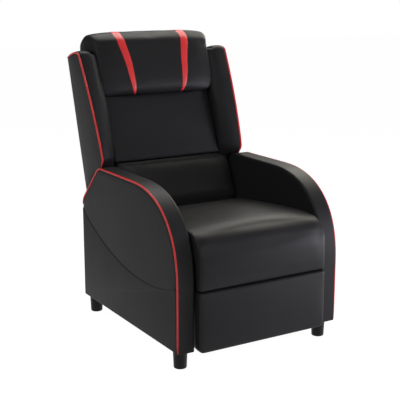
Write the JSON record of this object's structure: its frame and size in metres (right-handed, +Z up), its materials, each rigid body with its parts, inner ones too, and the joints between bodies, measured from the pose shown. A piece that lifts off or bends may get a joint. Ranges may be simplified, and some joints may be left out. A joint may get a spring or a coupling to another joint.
{
  "type": "recliner chair",
  "caption": "Push-back recliner armchair with panel arms on round feet, winged back, pillow headrest and a folding footrest carried on parallel steel links.",
  "frame": {"origin": "centre of the bounding box's base, on the floor", "axes": "+Z up, -Y the way the chair faces, +X the sitter's left"},
  "size_m": [0.66, 0.8868, 1.078],
  "materials": {
    "plywood": "raw birch plywood and sawn pine",
    "side_leather": "black PU leather, fine grain, flat panels",
    "black_leather": "black PU leather, fine grain, soft sheen",
    "cushion_leather": "black PU leather over foam",
    "red_piping": "red PU leather over cord",
    "black_plastic": "moulded black plastic",
    "nylon": "white nylon",
    "zinc_steel": "zinc plated steel",
    "black_steel": "black powder coat, semi-gloss",
    "spring_steel": "oiled spring wire",
    "webbing": "woven elastic webbing",
    "dust_cloth": "black non-woven dust cloth"
  },
  "bodies": {
    "base": {"arm_core_left": "plywood", "arm_core_right": "plywood", "arm_outer_panel_left": "side_leather", "arm_outer_panel_right": "side_leather", "arm_inner_panel_left": "black_leather", "arm_inner_panel_right": "black_leather", "arm_band_left": "black_leather", "arm_band_right": "black_leather", "arm_piping_left": "red_piping", "arm_piping_right": "red_piping", "side_pocket_left": "side_leather", "side_pocket_right": "side_leather", "feet": "black_plastic", "foot_studs": "zinc_steel", "base_front_rail": "plywood", "base_rear_rail": "plywood", "guide_plates": "black_steel", "rail_bolts": "zinc_steel", "rear_skirt": "dust_cloth"},
    "seat": {"seat_rail_left": "plywood", "seat_rail_right": "plywood", "seat_front_rail": "plywood", "seat_rear_rail": "plywood", "seat_springs": "spring_steel", "seat_spring_clips": "zinc_steel", "seat_cushion": "cushion_leather", "seat_front_board": "plywood", "seat_front_pad": "cushion_leather", "seat_plates": "black_steel", "guide_rollers": "nylon", "guide_pins": "zinc_steel", "linkage_pivot_pins": "zinc_steel", "recline_pivot_bolts": "zinc_steel"},
    "back": {"back_side_left": "plywood", "back_side_right": "plywood", "back_rails": "plywood", "back_webbing": "webbing", "upper_back_cushion": "cushion_leather", "lumbar_cushion": "cushion_leather", "headrest_pillow": "cushion_leather", "wing_left": "black_leather", "wing_right": "black_leather", "wing_piping_left": "red_piping", "wing_piping_right": "red_piping", "rear_cover": "side_leather", "back_brackets": "black_steel"},
    "crank": {"crank_arms": "black_steel", "crank_tube": "black_steel", "crank_pins": "zinc_steel"},
    "idler": {"idler_links": "black_steel"},
    "lower_link": {"lower_links": "black_steel", "lower_link_pins": "zinc_steel"},
    "upper_link": {"upper_links": "black_steel"},
    "footrest": {"footrest_board": "plywood", "footrest_pad": "cushion_leather", "footrest_brackets": "black_steel", "footrest_pins": "zinc_steel"}
  },
  "joints": [
    {"name": "seat_slide", "type": "slide", "parent": "base", "child": "seat", "axis": [0, -1, 0], "range_m": [0, 0.038]},
    {"name": "back_recline", "type": "hinge", "parent": "seat", "child": "back", "pos_m": [0, 0.1875, 0.34], "axis": [-1, 0, 0], "range_deg": [0, 40]},
    {"name": "crank_swing", "type": "hinge", "parent": "seat", "child": "crank", "pos_m": [0, -0.2525, 0.3], "axis": [-1, 0, 0], "range_deg": [0, 95]},
    {"name": "idler_swing", "type": "hinge", "parent": "seat", "child": "idler", "pos_m": [0, -0.2125, 0.3], "axis": [-1, 0, 0], "range_deg": [0, 95]},
    {"name": "lower_link_swing", "type": "hinge", "parent": "crank", "child": "lower_link", "pos_m": [0, -0.16798, 0.11874], "axis": [-1, 0, 0], "range_deg": [-95, 0]},
    {"name": "upper_link_swing", "type": "hinge", "parent": "crank", "child": "upper_link", "pos_m": [0, -0.16798, 0.16374], "axis": [-1, 0, 0], "range_deg": [-95, 0]},
    {"name": "footrest_swing", "type": "hinge", "parent": "lower_link", "child": "footrest", "pos_m": [0, -0.33248, 0.20504], "axis": [-1, 0, 0], "range_deg": [0, 95]}
  ],
  "couplings": [
    {"joint": "seat_slide", "follows": "back_recline", "m_per_rad": 0.054431},
    {"joint": "crank_swing", "follows": "back_recline", "ratio": 2.375},
    {"joint": "idler_swing", "follows": "back_recline", "ratio": 2.375},
    {"joint": "lower_link_swing", "follows": "back_recline", "ratio": -2.375},
    {"joint": "upper_link_swing", "follows": "back_recline", "ratio": -2.375},
    {"joint": "footrest_swing", "follows": "back_recline", "ratio": 2.375}
  ]
}
